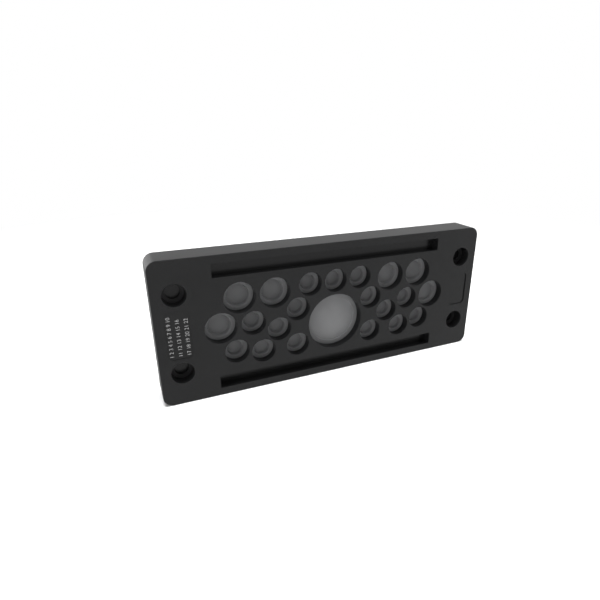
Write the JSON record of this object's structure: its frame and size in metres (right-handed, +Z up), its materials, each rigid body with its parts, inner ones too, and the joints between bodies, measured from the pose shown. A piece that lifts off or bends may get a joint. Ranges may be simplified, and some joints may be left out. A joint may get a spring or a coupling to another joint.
{
  "type": "cable entry plate",
  "caption": "Rectangular cable entry plate: a hard frame with counterbored screw holes and label slots, and round cable holes closed by soft membranes moulded onto its back.",
  "frame": {"origin": "middle of the screw pattern, on the plane of the frame's back that meets the cabinet wall", "axes": "+X along the plate to the right seen from the front, +Y out of the back into the wall, +Z up"},
  "size_m": [0.147, 0.0138, 0.059],
  "materials": {
    "black_polyamide": "matt, finely eroded moulding",
    "grey_elastomer": "matt soft elastomer"
  },
  "bodies": {
    "root": {"frame": "black_polyamide", "sealing_mat": "grey_elastomer"}
  },
  "joints": []
}
